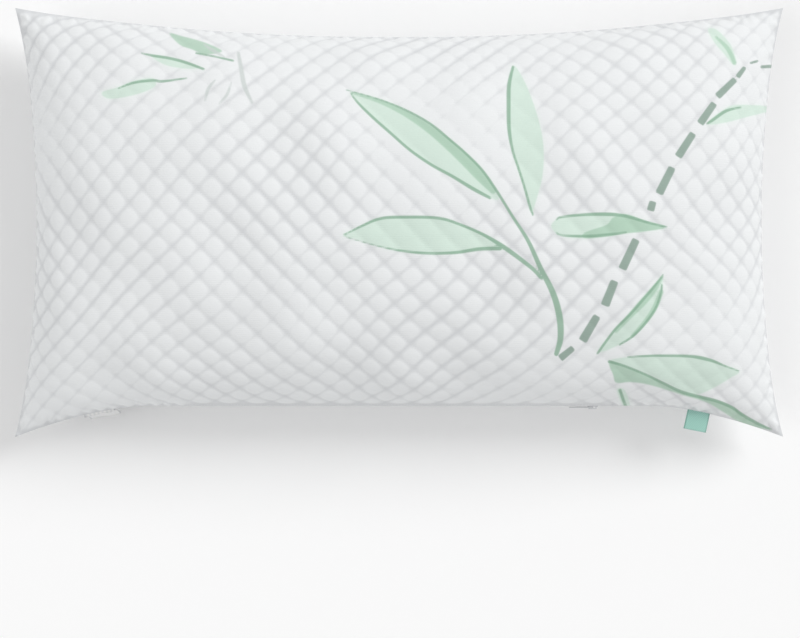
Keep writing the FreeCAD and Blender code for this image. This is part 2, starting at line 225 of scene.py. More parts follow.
QUILT_SQUARE = 14 * CUT_LENGTH / (4 * COLUMNS)  # a diamond, 32 mm across, is 14 mesh steps
QUILT_RISE, QUILT_WAVER, VALLEY_POWER = 0.0019, 0.0028, 1.3
VALLEY_DEPTH, VALLEY_CHANGE = 0.72, 0.28
QUILT_FROM, QUILT_FULL = 0.001, 0.009  # how far from the seam the wadding starts to puff up
ZIP_QUILT_FROM, ZIP_QUILT_FULL = 0.004, 0.012  # how much further from it along the zip
LUMP_RISE, LUMP_LENGTH, LUMPS_FROM, LUMPS_FULL = 0.0022, 0.11, 0.01, 0.07
PUCKER_RISE, PUCKER_LENGTH, PUCKER_REACH = 0.0013, 0.016, 0.016
PUCKER_WAVER, PUCKERS_FULL = 1.6, 0.006


def quilting(s, t):
    """How puffed the wadding is, from 0 on a stitched-down valley to 1 on top of a diamond."""
    s = s + QUILT_WAVER * swell(s, t, 0.16, seed=11)
    t = t + QUILT_WAVER * swell(s, t, 0.17, seed=12)
    rows = [np.abs(np.sin(math.pi * (s + way * t) / QUILT_SQUARE)) for way in (1, -1)]
    depths = [VALLEY_DEPTH + VALLEY_CHANGE * swell(s, t, 0.3, seed) for seed in (13, 14)]
    puffs = [1 - depth * (1 - row) ** VALLEY_POWER for depth, row in zip(depths, rows)]
    return puffs[0] * puffs[1]


def lumps(s, t, edge, way):
    """How far the loose stuffing pushes the cloth out or lets it in, clear of its seam."""
    away = smooth_step(edge, LUMPS_FROM, LUMPS_FULL)
    return LUMP_RISE * swell(s, t, LUMP_LENGTH, seed=31 + way) * away


def quilted(panel, way):
    """Splits the simulated cloth finer and raises the lumps, puckers and quilting on it."""
    finer = panel.modifiers.new("finer", "SUBSURF")
    finer.levels = finer.render_levels = 2
    finer.boundary_smooth = "PRESERVE_CORNERS"
    mesh = settled(panel)
    points, normals = read_points(mesh), read_normals(mesh)
    s, t, edge = on_cut(mesh)
    beside = np.where(edge < CUT_LENGTH / 2 - np.abs(s), s, t)
    at_zip = zip_opening(points[:, 0]) * (t < 0)
    puff = quilting(s, t * CUT_LENGTH / COLUMNS * ROWS / CUT_WIDTH)
    flat_until = QUILT_FROM + ZIP_QUILT_FROM * at_zip
    quilt_share = smooth_step(edge, flat_until, QUILT_FULL + ZIP_QUILT_FULL * at_zip)
    waver = PUCKER_WAVER * swell(s, t, 0.06, seed=21 + way)
    pucker = np.sin(2 * math.pi * beside / PUCKER_LENGTH + waver) * (1 - at_zip)
    pucker *= smooth_step(edge, 0, PUCKERS_FULL) * np.exp(-((edge / PUCKER_REACH) ** 2))
    rise = QUILT_RISE * (puff - 0.6) * quilt_share + PUCKER_RISE * pucker
    points += normals * (rise + lumps(s, t, edge, way))[:, None]
    points[:, 2] = np.maximum(points[:, 2], 0)
    write_points(mesh, points)
    write_values(mesh, "puff", puff * quilt_share)


KNIT_THICKNESS, SEAM_ALLOWANCE, LIP_DEPTH, TURNED_IN_OVER = 0.0032, 0.009, 0.0031, 0.016
SEAM_GAP, LIP_DROP = 0.0004, 0.0009


def lined(panel, cloth, way):
    """Closes a panel with its plain inner face and the allowance turned in along its seam."""
    points, normals = read_points(cloth), read_normals(cloth)
    s, t, edge = on_cut(cloth)
    at_zip = zip_opening(points[:, 0]) * (t < 0)
    inner = points + normals * (lumps(s, t, edge, way) - KNIT_THICKNESS)[:, None]
    inner[:, 2] = np.maximum(inner[:, 2], KNIT_THICKNESS)
    turned_in = points * (1 - SEAM_ALLOWANCE / np.array([LENGTH / 2, WIDTH / 2, np.inf]))
    turned_in[:, 1] += at_zip * (points[:, 1] + LIP_DEPTH - turned_in[:, 1])
    turned_in[:, 2] += way * (SEAM_GAP - LIP_DROP * at_zip)
    inner += (turned_in - inner) * (1 - smooth_step(edge, 0, TURNED_IN_OVER))[:, None]
    write_points(cloth, inner)
    bm = bmesh.new()
    bm.from_mesh(cloth)
    bmesh.ops.reverse_faces(bm, faces=bm.faces)
    rim = [e for e in bm.edges if e.is_boundary]
    bmesh.ops.subdivide_edges(bm, edges=rim, cuts=3)
    bm.to_mesh(cloth)
    bm.clear()
    bm.from_mesh(panel.data)
    for rim_edge in bm.edges:
        rim_edge.smooth = not rim_edge.is_boundary
    bm.from_mesh(cloth)
    bmesh.ops.bridge_loops(bm, edges=[e for e in bm.edges if e.is_boundary])
    bm.to_mesh(panel.data)
    bm.free()
    panel.data.shade_smooth()


def cover_panel(name, way):
    bm = bmesh.new()
    bmesh.ops.create_grid(bm, x_segments=COLUMNS, y_segments=ROWS, size=1)
    if way < 0:
        bmesh.ops.reverse_faces(bm, faces=bm.faces)
    panel = made_piece(name, bm)
    flat = read_points(panel.data) * (CUT_LENGTH / 2, CUT_WIDTH / 2, 0)
    a, b = read_points(panel.data)[:, :2].T
    write_values(panel.data, "cut_x", flat[:, 0])
    write_values(panel.data, "cut_y", flat[:, 1])
    write_points(panel.data, laid_out(a, b, way))
    push_out(panel, flat, np.maximum(np.abs(a), np.abs(b)) > 1 - 1e-6)
    return panel


cover_top = cover_panel("cover_top", 1)
cover_bottom = cover_panel("cover_bottom", -1)
soft_form = {}  # the cloth as it settled, for what is sewn or stuffed to the same form
for panel, way in ((cover_top, 1), (cover_bottom, -1)):
    cloth = panel.data.copy()
    soft_form[way] = cloth.copy()
    quilted(panel, way)
    lined(panel, cloth, way)

# The knit: matt bamboo viscose and polyester yarn, bleached white. Its faint courses are drawn
# 2.4 mm apart, twice the real spacing, which is too fine to show. The valleys are stitched down,
# and painted shade darkens the colour into them; the loose fibres on top catch a soft sheen.


def colour(code):
    """Linear red, green, blue and alpha of an sRGB hex value."""
    parts = [int(code[i : i + 2], 16) / 255 for i in (1, 3, 5)]
    return *(p / 12.92 if p <= 0.04045 else ((p + 0.055) / 1.055) ** 2.4 for p in parts), 1.0


def add(tree, kind, links=(), **settings):
    """A node with its settings; links gives each input an output, a value or a hex colour."""
    node = tree.nodes.new("ShaderNode" + kind)
    for key, value in settings.items():
        setattr(node, key, value)
    for key, value in dict(links).items():
        if isinstance(value, bpy.types.NodeSocket):
            tree.links.new(value, node.inputs[key])
        else:
            node.inputs[key].default_value = colour(value) if isinstance(value, str) else value
    return node


def finish_of(name, **surface):
    """A material with one Principled shader, and that shader with its plain values set."""
    material = bpy.data.materials.new(name)
    material.use_nodes = True
    shader = material.node_tree.nodes["Principled BSDF"]
    for key, value in surface.items():
        shader.inputs[key.replace("_", " ")].default_value = value
    return material, material.node_tree, shader


def dressed(tree, shader, base, layers, relief, strength, depth):
    """Lays colours over a base, each by its share, and shades relief, 0 to 1, depth metres high."""
    for paint, share in layers:
        laid = {"Factor": share, 6: base, 7: paint}
        base = add(tree, "Mix", laid, data_type="RGBA").outputs[2]
    tree.links.new(base, shader.inputs["Base Color"])
    raised = add(tree, "Bump", {"Height": relief, "Strength": strength, "Distance": depth})
    tree.links.new(raised.outputs["Normal"], shader.inputs["Normal"])


def along_cloth(tree):
    """Where a point lies on the flat cut, so that a weave follows the cloth."""
    s = add(tree, "Attribute", attribute_name="cut_x").outputs["Fac"]
    t = add(tree, "Attribute", attribute_name="cut_y").outputs["Fac"]
    return add(tree, "CombineXYZ", {"X": s, "Y": t}).outputs[0]


def apart(spacing):
    """The scale at which the ridges of a wave texture are this many metres apart."""
    return 2 * math.pi / 20 / spacing


COURSE = 0.0024
PRINT = (  # attribute, colour, softness in mm, strength; the first is the bleed round a leaf
    ("leaf_edge", "#E2EFE7", 7.0, 0.55),
    ("leaf_edge", "#D1E4D8", 1.1, 0.9),
    ("shade_edge", "#ACCCB6", 1.3, 0.85),
    ("faint_edge", "#C6CECB", 1.2, 0.75),
    ("line_edge", "#88AE95", 0.9, 0.85),
    ("stalk_edge", "#8AA194", 0.9, 0.9),
)


def knit_cover(name, printed):
    material, tree, shader = finish_of(name, Roughness=0.85, Sheen_Weight=0.25, Sheen_Roughness=0.5)
    puff = add(tree, "Attribute", attribute_name="puff").outputs["Fac"]
    # Painted shade: darker in the stitched valleys, lighter on the puffed tops of the diamonds.
    shade = add(tree, "MapRange", {"Value": puff, "From Min": 0.05, "From Max": 0.6}).outputs[0]
    layers = [("#E9EBEC", shade)]
    for attribute, paint, softness, strength in PRINT if printed else ():
        edge = add(tree, "Attribute", attribute_name=attribute).outputs["Fac"]
        softened = {"Value": edge, "From Min": softness, "From Max": -softness}
        inside = add(tree, "MapRange", softened, interpolation_type="SMOOTHSTEP").outputs[0]
        share = add(tree, "Math", {0: inside, 1: strength}, operation="MULTIPLY").outputs[0]
        layers.append((paint, share))
    cloth = along_cloth(tree)
    knitted = {"Vector": cloth, "Scale": apart(COURSE), "Distortion": 1.5, "Detail": 1.0}
    knitted["Detail Scale"] = 2.0
    courses = add(tree, "TexWave", knitted, bands_direction="Y").outputs["Fac"]
    fibres = add(tree, "TexNoise", {"Vector": cloth, "Scale": 900.0}).outputs["Fac"]
    height = add(tree, "Mix", {"Factor": 0.5, 2: courses, 3: fibres}, data_type="FLOAT").outputs[0]
    # D5D7D9 is the painted shade of the valleys, under the tops' colour and the print.
    dressed(tree, shader, "#D5D7D9", layers, height, 0.35, 0.0005)
    return material


# ------------------------------ the print on the top panel
# Sprays of bamboo in pale mint and grey-green, screen printed on the knit: filled leaves, shaded
# bands along them, fine outlines and veins, and a jointed stalk.

# Millimetres from the panel's middle, seen from above; a third number is half a stroke's width.
LEAVES = [
    [(-55.2, 145.4), (-21.3, 136.7), (10.3, 123.5), (36.8, 107.8), (56.3, 92), (75.6, 75.2),
     (94.9, 55.7), (111.5, 31.5), (112.7, 20), (85.1, 32.7), (60.9, 47.3), (36.8, 60.6),
     (12.6, 77.5), (-9.2, 96.8), (-31, 116.3), (-47.8, 133.2)],
    [(-64.9, -20.5), (-43, -9.7), (-21.3, -1.1), (12.6, 0), (46.5, -1.1), (70.7, -8.4),
     (94.9, -18.1), (114.3, -29), (123, -36.3), (94.9, -36.2), (65.9, -41.1), (36.8, -42.3),
     (7.8, -39.9), (-21.3, -33.8), (-47.8, -25.3)],
    [(131.1, 176.8), (126.4, 154.9), (125.9, 130.8), (126.4, 101.7), (130.8, 77.5), (136, 58.2),
     (143.3, 36.3), (150.6, 12.2), (152.9, 5.1), (159, 24.3), (165, 48.4), (166.3, 77.5),
     (162.6, 104.1), (154.1, 133.2), (143.3, 159.7)],
    [(174.8, -9.9), (186, 0.2), (211.7, 4), (238.4, 4.9), (261.3, 4), (284.2, -3.7), (307, -10.3),
     (284.2, -15.1), (261.3, -17.9), (238.4, -21.7), (213.7, -23.7), (187, -21.7)],
    [(303.3, -65.7), (293.7, -78), (280.4, -93.3), (265.2, -110.4), (247.9, -127.6),
     (228.8, -152.8), (253.7, -144.8), (269, -135.2), (284.2, -119.9), (295.7, -102.8),
     (301.4, -85.7)],
    [(242.3, -163), (265.2, -158.6), (295.5, -157.5), (329.9, -157.5), (352.8, -160),
     (368.1, -165.2), (391, -173.5), (380.6, -181.5), (362.2, -192.3), (345, -199.5),
     (329.9, -198), (311, -189.1), (288.1, -178.7), (265.2, -169.7)],
    [(250.7, -195), (258.8, -195), (264.5, -207.6), (267.9, -224.6), (262.2, -221),
     (255.3, -208.5)],
    [(355.3, 220.1), (364.5, 220.1), (377.2, 207.5), (384.1, 196), (387.5, 182.2), (384.1, 178.7),
     (373.7, 191.4), (362.2, 205.2)],
    [(353.7, 109.4), (375.8, 128.1), (393.3, 132.5), (433, 131.3), (419.7, 124.7), (397.8, 118.1),
     (375.8, 111.5)],
    [(-286.3, 189.1), (-264.5, 185.6), (-244.9, 179.9), (-228.8, 174.1), (-244.9, 173),
     (-269.1, 177.6)],
    [(-341.9, 145.8), (-322.8, 151.7), (-305.2, 158.9), (-283.2, 161.9), (-280.3, 153.1),
     (-293.5, 145.8), (-315.6, 140), (-334.6, 138.5)],
]
SHADED = [
    [(213.7, -17), (238.4, -8.4), (246.1, 0.2), (261.3, 4), (284.2, -3.7), (307, -10.3),
     (284.2, -15.1), (261.3, -17.9), (238.4, -21.7), (213.7, -23.7)],
    [(241.3, -163.8), (257.5, -168.3), (280.4, -177.1), (303.3, -187.6), (324.3, -197.2),
     (345.2, -202.4), (364.3, -206.9), (381.5, -212.8), (394.8, -221.8), (410.1, -230.7),
     (427.2, -238.1), (406.3, -235.2), (387.2, -227.7), (371.9, -218.8), (352.8, -208.4),
     (326.1, -200.9), (307, -195), (284, -189.1), (265.2, -186.8), (249.9, -187.6),
     (246.1, -178.7)],
    [(-264.2, 215.5), (-249.5, 211.8), (-224.6, 204.5), (-203.5, 193.7), (-223.1, 189.7),
     (-237.8, 195.6), (-252.4, 201.5)],
]
SHADED_BANDS = [
    [(-54, 144.2, 1.1), (-21.8, 133.9, 2.1), (6.9, 120.1, 3.2), (33.3, 102.8, 4.4),
     (56.3, 84.4, 5.8), (77, 64.9, 6.4), (94.3, 46.5, 6), (108.1, 30.4, 3.4)],
    [(302.4, -67.4, 1.4), (293.2, -81.2, 3.4), (281.8, -95, 4.1), (265.6, -112.2, 3),
     (249.5, -129.5, 2.1)],
    [(301.3, -84.6, 2.8), (293.2, -104.2, 3), (281.8, -120.3, 2.5), (267.9, -135.2, 1.7)],
    [(364.5, 210.9, 1.4), (378, 197.3, 2.5), (385.7, 180.9, 2.3)],
]
LINES = [
    [(-60.9, 147.7, 0.7), (-21.3, 136.2, 1), (10.3, 122.9, 1.3), (36.8, 107.4, 1.4),
     (56.3, 91.3, 1.4), (75.6, 74.6, 1.4), (94.9, 55.1, 1.5), (111.5, 31.5, 1.6), (131.1, 0, 1.7),
     (148.1, -26.6, 2.2), (162.6, -58.1, 2.8), (177.1, -86.9, 3.4), (184.5, -113.7, 3.7),
     (185.6, -137.9, 3.4), (180.8, -155.5, 2.6)],
    [(-55.2, 143.1, 0.7), (-47.8, 133.2, 1.3), (-31, 116.3, 1.6), (-9.2, 96.8, 1.6),
     (12.6, 77.5, 1.6), (36.8, 60.6, 1.7), (60.9, 47.3, 1.8), (85.1, 32.7, 2.1),
     (104.6, 22.3, 1.7)],
    [(-64.4, -20.2, 0.6), (-56.3, -16.8, 0.9), (-42.5, -9.9, 1.4), (-20.7, -1.3, 1.7),
     (12.6, 0.2, 1.8), (47.1, -1.3, 1.7), (71.3, -8.7, 1.6), (95.4, -19.1, 1.8), (115, -30.6, 2.4),
     (129.9, -40.9, 2.6), (143.8, -51.3, 2.4), (155.2, -60.5, 2.2), (163.3, -69.7, 1.8)],
    [(-62.1, -22.5, 0.6), (-20.7, -34, 0.9), (8, -39.2, 1.4), (36.8, -41.5, 1.6),
     (65.5, -40.4, 1.8), (93.1, -36.3, 2.1), (116.1, -35.8, 2.3)],
    [(131.1, 175.3, 1.4), (126.5, 154.6, 2.2), (125.9, 130.4, 2.3), (126.5, 101.7, 2.1),
     (130.5, 77.5, 1.5), (136.8, 58, 1.4), (143.8, 36.1, 1.4), (150.6, 12, 1.5),
     (154.1, 2.8, 1.1)],
    [(180.5, -3, 0.8), (186.3, 0.5, 1.3), (211.6, 3.3, 1.7), (238, 3.9, 2.1), (258.8, 2.2, 1.8),
     (284, -4.7, 1.5), (308.2, -10.3, 1)],
    [(180.5, -16.8, 0.7), (186.3, -20.2, 1.1), (213.9, -21.4, 1.6), (238, -19.7, 1.6),
     (261, -16.8, 1.1)],
    [(303.6, -65.1, 0.9), (293.2, -78.9, 1.4), (280.4, -93.8, 1.5), (265.2, -111.1, 1.5),
     (247.9, -128.3, 1.4), (228.3, -154.6, 1.3)],
    [(302.4, -76.6, 1.1), (300.7, -86.9, 1.3), (295, -103, 1.4), (283.5, -119.9, 1.4),
     (269, -135.2, 1.3), (253.7, -144.8, 1)],
    [(263.3, -158.7, 0.9), (295.5, -157.3, 1.4), (330, -157.3, 1.6), (346.1, -159.1, 2),
     (361.1, -162.7, 1.7), (374.9, -168.1, 1), (391, -173.5, 0.7)],
    [(241.3, -163.8, 1.6), (257.5, -168.3, 1.4), (280.4, -177.1, 1.4), (303.3, -187.6, 1.5),
     (324.3, -197.2, 1.8), (345.2, -202.6, 1.8), (364.3, -207.1, 1.8), (381.8, -213.8, 1.7),
     (395.6, -222.8, 1.7), (410.5, -230.9, 1.6), (427.8, -238.4, 1)],
    [(254.1, -195.9, 1.8), (258.8, -208.5, 1.7), (264.5, -220.1, 1.4), (267.9, -225.5, 0.8)],
    [(353.7, 109.4, 1), (360.4, 113.7, 1.7), (375.8, 124.7, 1.7), (393.3, 129.8, 1)],
    [(-296.5, 191.4, 0.7), (-283.2, 188.4, 1.5), (-264.2, 185.4, 1.7), (-245.1, 180.2, 1.7),
     (-224.6, 172.2, 1.4)],
    [(-323.1, 150, 0.7), (-305.2, 156.6, 1.5), (-283.2, 159.2, 1.6), (-271.4, 158.2, 1.5),
     (-243.8, 161.9, 0.9)],
    [(-233.4, 191.4, 1.1), (-210.4, 186.8, 1.1), (-190.9, 182.2, 1.3)],
]
STALK = [
    [(397.8, 176.4, 2.3), (388.9, 164.3, 3)],
    [(386.7, 162.1, 3.4), (365.8, 141.2, 4.1)],
    [(362.6, 133.5, 3.9), (346, 109.4, 4.5)],
    [(338.3, 98.3, 4.1), (320.7, 70.8, 4.6)],
    [(314.2, 58.8, 4.3), (298.8, 27.9, 4.8)],
    [(292.1, 19.2, 4.1), (288.9, 8.2, 4.4)],
    [(272.8, -24.6, 4.5), (256.6, -59, 4.9)],
    [(247.9, -72.3, 4.6), (236.6, -100.9, 5.2)],
    [(227.9, -112.4, 4.4), (210.8, -141, 5.1)],
    [(200.3, -148.6, 3.4), (185, -160.8, 4.1)],
    [(403.3, 180.9, 1.4), (413.2, 184.1, 1.4)],
    [(415.4, 177.1, 1.7), (437.3, 179.7, 2.2)],
]
FAINT = [
    [(-184.9, 191.5, 1.8), (-181.7, 173.1, 2.4), (-177.7, 151.8, 2.6), (-169, 132.8, 1.2)],
    [(-224.2, 201.8, 0.9), (-213.9, 194.4, 2.1), (-201.3, 186.9, 0.9)],
    [(-223.1, 135.2, 1), (-219.6, 148.9, 1.9), (-211.6, 159.3, 0.8)],
    [(-207, 131.7, 0.9), (-198, 142, 1.7), (-193.2, 156, 0.8)],
]

PRINT_HEIGHT, PRINT_AWAY = 0.07, 2.556  # the print is laid on from this far above that level
NEARBY, FAR = 25.0, 30.0  # millimetres: past these, a stroke makes no difference


def traced(points, closed, steps=5):
    """A smooth run of points through the given ones."""
    points = np.array(points, float)
    n = len(points)
    order = np.arange(-1, n + 2)
    ring = points[order % n] if closed else points[np.clip(order, 0, n - 1)]
    made = []
    for i in range(n if closed else n - 1):
        a, b, c, d = ring[i : i + 4]
        for f in np.arange(steps) / steps:
            made.append(
                b + 0.5 * f * (c - a + f * (2 * a - 5 * b + 4 * c - d + f * (3 * (b - c) + d - a)))
            )
    return np.array(made if closed else [*made, points[-1]])


def from_strokes(places, lines, closed=False):
    """Distance from each place to the nearest of some strokes or outlines, below 0 inside."""
    nearest = np.full(len(places), FAR)
    for line in lines:
        line = traced(line, closed)
        low, high = line[:, :2].min(0) - NEARBY, line[:, :2].max(0) + NEARBY
        close = np.flatnonzero(((places > low) & (places < high)).all(1))
        at = places[close]
        far, inside = np.full(len(close), FAR), np.zeros(len(close), bool)
        following = np.roll(line, -1, 0) if closed else line[1:]
        for start, end in zip(line, following):
            run = end[:2] - start[:2]
            share = np.clip(((at - start[:2]) @ run) / max(run @ run, 1e-9), 0, 1)
            gap = np.linalg.norm(at - start[:2] - share[:, None] * run, axis=1)
            if closed:
                crosses = (start[1] > at[:, 1]) != (end[1] > at[:, 1])
                across = start[0] + (at[:, 1] - start[1]) * run[0] / (run[1] if run[1] else 1)
                inside ^= crosses & (at[:, 0] < across)
            else:
                gap = gap - (start[2] + share * (end[2] - start[2]))
            far = np.minimum(far, gap)
        nearest[close] = np.minimum(nearest[close], np.where(inside, -far, far))
    return nearest


def from_bars(places, bars, rounding=1.6):
    """Distance from each place to the nearest of some straight bars with blunt ends."""
    nearest = np.full(len(places), FAR)
    for start, end in np.array(bars, float):
        length = np.linalg.norm(end[:2] - start[:2])
        run = (end[:2] - start[:2]) / length
        offset = places - start[:2]
        along, aside = offset @ run, np.abs(offset @ np.array([-run[1], run[0]]))
        wide = start[2] + np.clip(along / length, 0, 1) * (end[2] - start[2])
        past_end = np.maximum(-along, along - length) + rounding
        past_side = aside - wide + rounding
        outside = np.hypot(np.maximum(past_end, 0), np.maximum(past_side, 0))
        gap = outside + np.minimum(np.maximum(past_end, past_side), 0) - rounding
        nearest = np.minimum(nearest, gap)
    return nearest


def split_along(panel, edge, reach=3.5):
    """Splits the faces under a thin stroke the way it runs, which keeps its sides even."""
    bm = bmesh.new()
    bm.from_mesh(panel.data)
    for face in bm.faces[:]:
        near = [edge[v.index] for v in face.verts]
        if len(near) == 4 and min(near) < reach:
            start = 0 if near[0] + near[2] < near[1] + near[3] else 1
            bmesh.utils.face_split(face, face.verts[start], face.verts[start + 2])
    bm.to_mesh(panel.data)
    bm.free()


top_points = read_points(cover_top.data)
spread = 1000 / (1 - (top_points[:, 2:] - PRINT_HEIGHT) / PRINT_AWAY)
places = top_points[:, :2] * spread
shaded = np.minimum(from_strokes(places, SHADED, True), from_strokes(places, SHADED_BANDS))
write_values(cover_top.data, "leaf_edge", from_strokes(places, LEAVES, True))
write_values(cover_top.data, "shade_edge", shaded)
strokes = {
    "line_edge": from_strokes(places, LINES),
    "stalk_edge": from_bars(places, STALK),
    "faint_edge": from_strokes(places, FAINT),
}
for attribute, edge in strokes.items():
    write_values(cover_top.data, attribute, edge)
split_along(cover_top, np.minimum.reduce(list(strokes.values())))

for panel, printed in ((cover_top, True), (cover_bottom, False)):
    panel.data.materials.append(knit_cover(panel.name + "_quilted_knit", printed))
    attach(panel, "pillow")
    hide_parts(panel.name + "_panel")

# ------------------------------ the topstitching
# White polyester thread, locked through the knit in a row on both sides of the zip to hold its
# turned edges down on the tape, with a tack of closer stitches across each end of the opening.

STITCH_LENGTH, STITCH_SPACING, THREAD, THREAD_UP = 0.0026, 0.0034, 0.0005, 0.3
STITCHED_FROM, STITCHED_TO = 0.0038, 0.2495
TACK_STITCHES, TACK_REACH, TACK_LENGTH, TACK_SLANT = 13, 0.0075, 0.00312, 0.3

found = bpy.context.evaluated_depsgraph_get()
skins = {way: BVHTree.FromObject(p, found) for way, p in ((1, cover_top), (-1, cover_bottom))}


def against(way, x, z):
    """Where a point outside the zipped edge, at x and z, meets a panel of the cover."""
    hit = skins[way].ray_cast(Vector((x, -WIDTH, z)), Vector((0, 1, 0)))
    return hit[0], hit[1]


def stitch(bm, place, along, outwards, length):
    """One stitch: a short swell of thread that lies along a direction on the cloth."""
    side = outwards.cross(along).normalized()
    turned = Matrix((along.normalized(), side, outwards.normalized())).transposed().to_4x4()
    size = Matrix.Diagonal((length / 2, THREAD / 2, THREAD / 2, 1))
    lie = Matrix.Translation(place + outwards * THREAD * THREAD_UP)
    bmesh.ops.create_icosphere(bm, subdivisions=1, radius=1, matrix=lie @ turned @ size)


bm = bmesh.new()
for way in (1, -1):
    for x in np.arange(-STITCHED_TO, STITCHED_TO, STITCH_SPACING):
        opening = SLOT_HALF_HEIGHT * float(zip_opening(x))
        place, outwards = against(way, x, SEAM_HEIGHT + way * (opening + STITCHED_FROM))
        if place and place.y < 0:
            stitch(bm, place, Vector((1, 0, 0)), outwards, STITCH_LENGTH)
for end in (1, -1):
    for i in range(TACK_STITCHES):
        z = SEAM_HEIGHT + TACK_REACH * (2 * i / (TACK_STITCHES - 1) - 1)
        place, outwards = against(1 if z > SEAM_HEIGHT else -1, end * STITCHED_TO, z)
        if place and place.y < 0:
            stitch(bm, place, Vector((1, 0, TACK_SLANT * (-1) ** i)), outwards, TACK_LENGTH)
topstitching = made_piece("cover_topstitching", bm)

# Spun polyester sewing thread: dull white, its two plies twisted, their turns 0.9 mm apart.
thread, tree, shader = finish_of("polyester_sewing_thread", Roughness=0.6, Sheen_Weight=0.2)
here = add(tree, "TexCoord").outputs["Object"]
plies = {"Vector": here, "Scale": apart(0.0009)}
twist = add(tree, "TexWave", plies, bands_direction="DIAGONAL").outputs["Fac"]
dressed(tree, shader, "#D8D9DC", [("#F4F4F5", twist)], twist, 0.4, 0.0001)
topstitching.data.materials.append(thread)
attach(topstitching, "pillow")

# ------------------------------ the two zips
# Nylon coil zips, one in the cover and one 19 mm further in, in the liner. Each has two woven
# polyester tapes; their outer halves turn in behind the fabric, and a coil of nylon wire is sewn
# on each. Crimped aluminium stops and an enamelled zinc slider with its pull come from the frame.

ZIP_LINES = {"cover": LONG_EDGE_SAG - WIDTH / 2, "liner": LONG_EDGE_SAG - WIDTH / 2 + 0.019}
TAPE_LENGTH, TAPE_DEPTH, TAPE_THICKNESS = 0.489, 0.0037, 0.00055
TAPE_GAP, TAPE_FLAT, TAPE_TURNED = 0.0005, 0.0049, 0.0078
TAPE_RIPPLE, TAPE_RIPPLES = 0.00012, 61  # metres in and out, radians along half its length
COIL_LENGTH, COIL_PITCH, COIL_STEPS, NYLON = 0.457, 0.0015, 10, 0.0007
COIL_MIDDLE, COIL_HALF_DEPTH = (0.0020, 0.001585), (0.00085, 0.000965)

# Woven polyester tape: slightly lustrous, its ribs 0.8 mm and its picks 1.2 mm apart as drawn,
# which is coarser than the real weave, so that they show.
tape_cloth, tree, shader = finish_of("woven_polyester_tape", Roughness=0.7, Sheen_Weight=0.15)
here = add(tree, "TexCoord").outputs["Object"]
ribbed = {"Vector": here, "Scale": apart(0.0008), "Distortion": 0.6}
ribs = add(tree, "TexWave", ribbed, bands_direction="X").outputs["Fac"]
picked = {"Vector": here, "Scale": apart(0.0012)}
picks = add(tree, "TexWave", picked, bands_direction="Z").outputs["Fac"]
woven = add(tree, "Math", {0: ribs, 1: picks}, operation="MULTIPLY").outputs[0]
dressed(tree, shader, "#DEDFE1", [("#F3F3F4", woven)], woven, 0.6, 0.0002)

# Drawn nylon wire: white and very smooth, so it is glossier and a little colder than the cloth.
nylon, tree, shader = finish_of("drawn_nylon_wire", IOR=1.53)
here = add(tree, "TexCoord").outputs["Object"]
cloudy = add(tree, "TexNoise", {"Vector": here, "Scale": 300.0, "Detail": 3.0}).outputs["Fac"]
clouded = {"Factor": cloudy, 6: "#E2E4E7", 7: "#F7F8F9"}
wire = add(tree, "Mix", clouded, data_type="RGBA").outputs[2]
tree.links.new(wire, shader.inputs["Base Color"])
drawn = add(tree, "MapRange", {"Value": cloudy, "To Min": 0.25, "To Max": 0.42}).outputs[0]
tree.links.new(drawn, shader.inputs["Roughness"])


def zip_tape(name, line, way):
    """A tape: flat under its coil, then turned in at 45 degrees behind the fabric."""
    bm = bmesh.new()
    bmesh.ops.create_grid(bm, x_segments=160, y_segments=12, size=1)
    for vert in bm.verts:
        run = (vert.co.y + 1) / 2 * (TAPE_FLAT + TAPE_TURNED)
        turned = max(run - TAPE_FLAT, 0) * math.sqrt(0.5)
        ripple = TAPE_RIPPLE * math.sin(vert.co.x * TAPE_RIPPLES) * min(run / TAPE_FLAT, 1)
        vert.co = (
            vert.co.x * TAPE_LENGTH / 2,
            line + TAPE_DEPTH + turned + ripple,
            SEAM_HEIGHT + way * (TAPE_GAP + min(run, TAPE_FLAT) + turned),
        )
    if way > 0:
        bmesh.ops.reverse_faces(bm, faces=bm.faces)
    tape = made_piece(name + "_sheet", bm)
    body = tape.modifiers.new("body", "SOLIDIFY")
    body.thickness, body.offset = TAPE_THICKNESS, 0
    tape.data.materials.append(tape_cloth)
    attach(tape, "pillow")
    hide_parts(name)


def zip_coil(name, line, way):
    """A run of nylon wire wound round and round, half a turn out of step with its neighbour."""
    bm = bmesh.new()
    bmesh.ops.create_circle(bm, segments=6, radius=NYLON / 2)
    bmesh.ops.translate(bm, verts=bm.verts, vec=(0, COIL_HALF_DEPTH[0], 0))
    forward = (COIL_PITCH / COIL_STEPS, 0, 0)
    turn = {"axis": (1, 0, 0), "angle": 2 * math.pi, "steps": COIL_STEPS, "dvec": forward}
    bmesh.ops.spin(bm, geom=bm.verts[:] + bm.edges[:], use_merge=False, **turn)
    bmesh.ops.scale(bm, verts=bm.verts, vec=(1, 1, COIL_HALF_DEPTH[1] / COIL_HALF_DEPTH[0]))
    start = -COIL_LENGTH / 2 + COIL_PITCH * (0.5 + 0.25 * way)
    place = (start, line + COIL_MIDDLE[0], SEAM_HEIGHT + way * COIL_MIDDLE[1])
    bmesh.ops.translate(bm, verts=bm.verts, vec=place)
    coil = made_piece(name + "_wire", bm)
    loops = coil.modifiers.new("loops", "ARRAY")
    loops.count = round(COIL_LENGTH / COIL_PITCH) - 1
    loops.use_relative_offset, loops.use_constant_offset = False, True
    loops.constant_offset_displace = (COIL_PITCH, 0, 0)
    loops.use_merge_vertices, loops.merge_threshold = True, NYLON / 50
    settled(coil)
    bm = bmesh.new()
    bm.from_mesh(coil.data)
    bmesh.ops.holes_fill(bm, edges=[e for e in bm.edges if e.is_boundary])
    bmesh.ops.recalc_face_normals(bm, faces=bm.faces)
    bm.to_mesh(coil.data)
    bm.free()
    coil.data.materials.append(nylon)
    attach(coil, "pillow")
    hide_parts(name)


